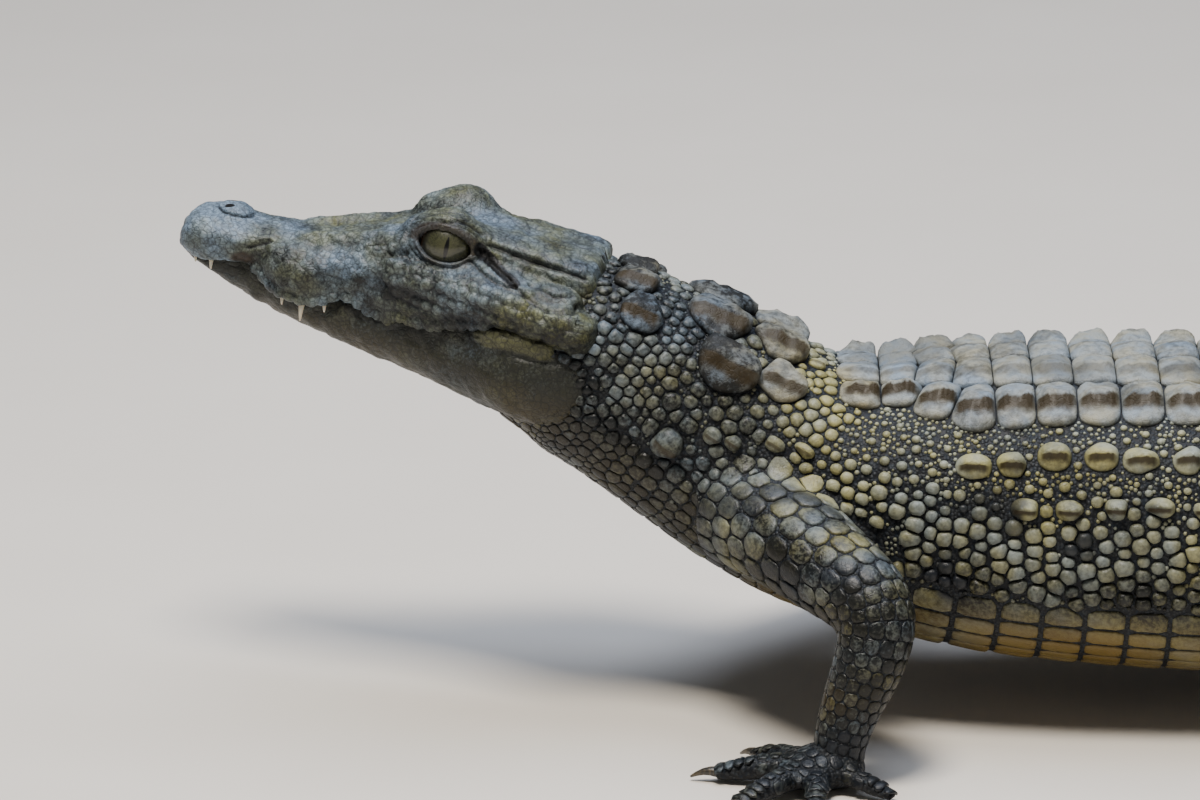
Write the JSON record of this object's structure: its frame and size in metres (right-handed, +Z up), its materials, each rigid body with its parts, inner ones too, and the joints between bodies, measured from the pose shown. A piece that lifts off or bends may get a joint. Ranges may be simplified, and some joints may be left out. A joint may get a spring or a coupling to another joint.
{
  "type": "crocodile",
  "caption": "Young Nile crocodile standing with chest and head raised, a still life-size model with plated back, beaded flanks and a crested tail.",
  "frame": {"origin": "middle of the bounding box at the floor, under the trunk", "axes": "+Z up, the snout points to -X, the animal's left side faces -Y"},
  "size_m": [0.8146, 0.2586, 0.1444],
  "materials": {
    "skin": "scaly hide, olive grey and tan above with blue-black scutes, cream to yellow-olive below",
    "claw": "dark horn, smooth, worn pale at the tips",
    "eye": "wet, olive green iris with a black vertical slit pupil",
    "tooth": "ivory enamel, slightly stained at the gum"
  },
  "bodies": {
    "root": {"head": "skin", "lower_jaw": "skin", "neck": "skin", "trunk": "skin", "foreleg_left_upper": "skin", "foreleg_left_lower": "skin", "foreleg_left_foot": "skin", "foreleg_left_claw_1": "claw", "foreleg_left_claw_2": "claw", "foreleg_left_claw_3": "claw", "foreleg_right_upper": "skin", "foreleg_right_lower": "skin", "foreleg_right_foot": "skin", "foreleg_right_claw_1": "claw", "foreleg_right_claw_2": "claw", "foreleg_right_claw_3": "claw", "hindleg_left_upper": "skin", "hindleg_left_lower": "skin", "hindleg_left_foot": "skin", "hindleg_left_claw_1": "claw", "hindleg_left_claw_2": "claw", "hindleg_left_claw_3": "claw", "hindleg_right_upper": "skin", "hindleg_right_lower": "skin", "hindleg_right_foot": "skin", "hindleg_right_claw_1": "claw", "hindleg_right_claw_2": "claw", "hindleg_right_claw_3": "claw", "tail_base": "skin", "tail_middle": "skin", "tail_end": "skin", "tail_tip": "skin", "eye_left": "eye", "eye_right": "eye"}
  },
  "joints": []
}
